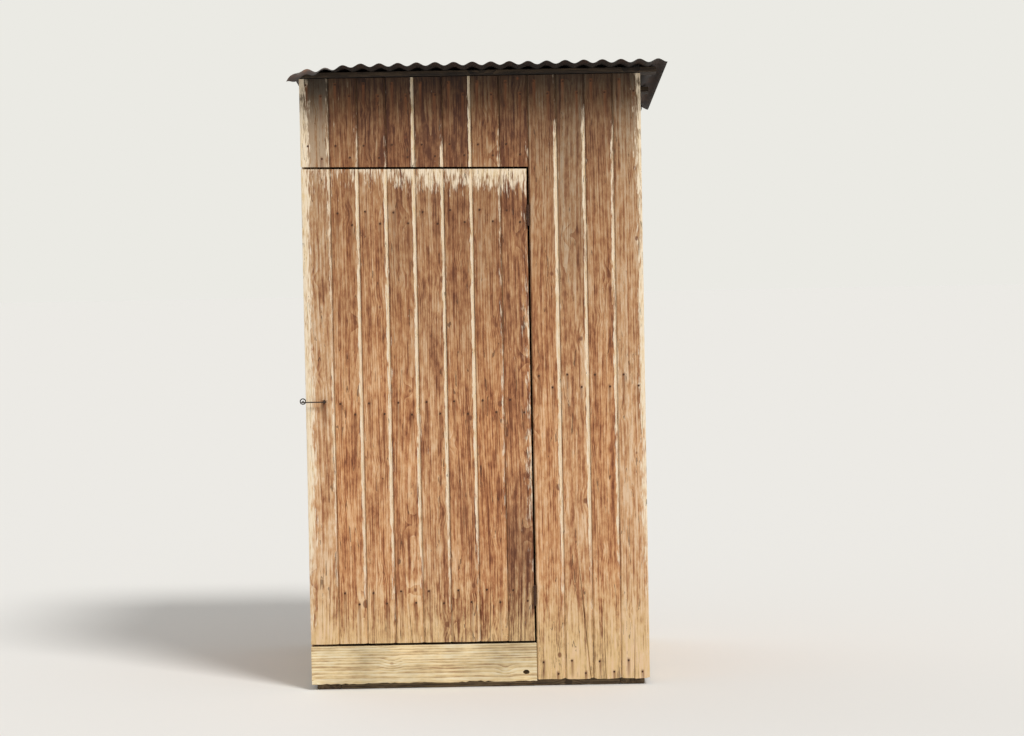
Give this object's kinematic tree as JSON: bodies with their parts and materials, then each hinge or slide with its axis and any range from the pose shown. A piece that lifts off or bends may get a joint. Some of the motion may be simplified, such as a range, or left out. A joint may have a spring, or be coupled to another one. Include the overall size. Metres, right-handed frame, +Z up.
{
  "type": "wooden outhouse",
  "caption": "Small outhouse of vertical boards on a timber frame, with a flush boarded door, a wire hook and a nearly flat corrugated iron roof.",
  "frame": {"origin": "middle of the bounding box's footprint, on the ground under the sills", "axes": "+Z up; the front with the door faces -Y; +X to the viewer's right"},
  "size_m": [1.3878, 1.4886, 2.3114],
  "materials": {
    "wall_boards": "weathered brown stain",
    "door_boards": "weathered brown stain",
    "bleached_board": "bleached, raw",
    "frame_timber": "sawn, aged",
    "sill_timber": "sawn, damp and dark",
    "floor_timber": "worn, raw",
    "ledge_timber": "sawn, aged",
    "sheet_iron": "galvanised once, rusted dark brown",
    "hinge_iron": "rusted",
    "wire_iron": "dull, rust-stained"
  },
  "bodies": {
    "frame": {"left_sill": "sill_timber", "right_sill": "sill_timber", "front_sill": "sill_timber", "back_sill": "sill_timber", "floor_joist": "sill_timber", "floor_boards": "floor_timber", "front_left_post": "frame_timber", "front_right_post": "frame_timber", "back_left_post": "frame_timber", "back_right_post": "frame_timber", "door_post": "frame_timber", "door_header": "frame_timber", "front_plate": "frame_timber", "back_plate": "frame_timber", "left_girt": "frame_timber", "right_girt": "frame_timber", "back_girt": "frame_timber", "front_girt": "frame_timber", "left_rafter": "frame_timber", "middle_rafter": "frame_timber", "right_rafter": "frame_timber", "purlins": "frame_timber", "left_roof_sheet": "sheet_iron", "right_roof_sheet": "sheet_iron", "front_right_wall": "wall_boards", "front_header_wall": "wall_boards", "kick_board": "bleached_board", "left_wall": "wall_boards", "right_wall": "wall_boards", "back_wall": "wall_boards", "wall_eye": "wire_iron", "upper_frame_leaf": "hinge_iron", "lower_frame_leaf": "hinge_iron", "hinge_pins": "hinge_iron"},
    "door": {"door_boards": "door_boards", "upper_ledge": "ledge_timber", "middle_ledge": "ledge_timber", "lower_ledge": "ledge_timber", "upper_brace": "ledge_timber", "lower_brace": "ledge_timber", "upper_door_leaf": "hinge_iron", "lower_door_leaf": "hinge_iron", "hook_eye": "wire_iron", "hook": "wire_iron"}
  },
  "joints": [
    {"name": "door_hinge", "type": "hinge", "parent": "frame", "child": "door", "pos_m": [0.17747, -0.6193, 1], "axis": [0, 0, 1], "range_deg": [0, 170]}
  ]
}
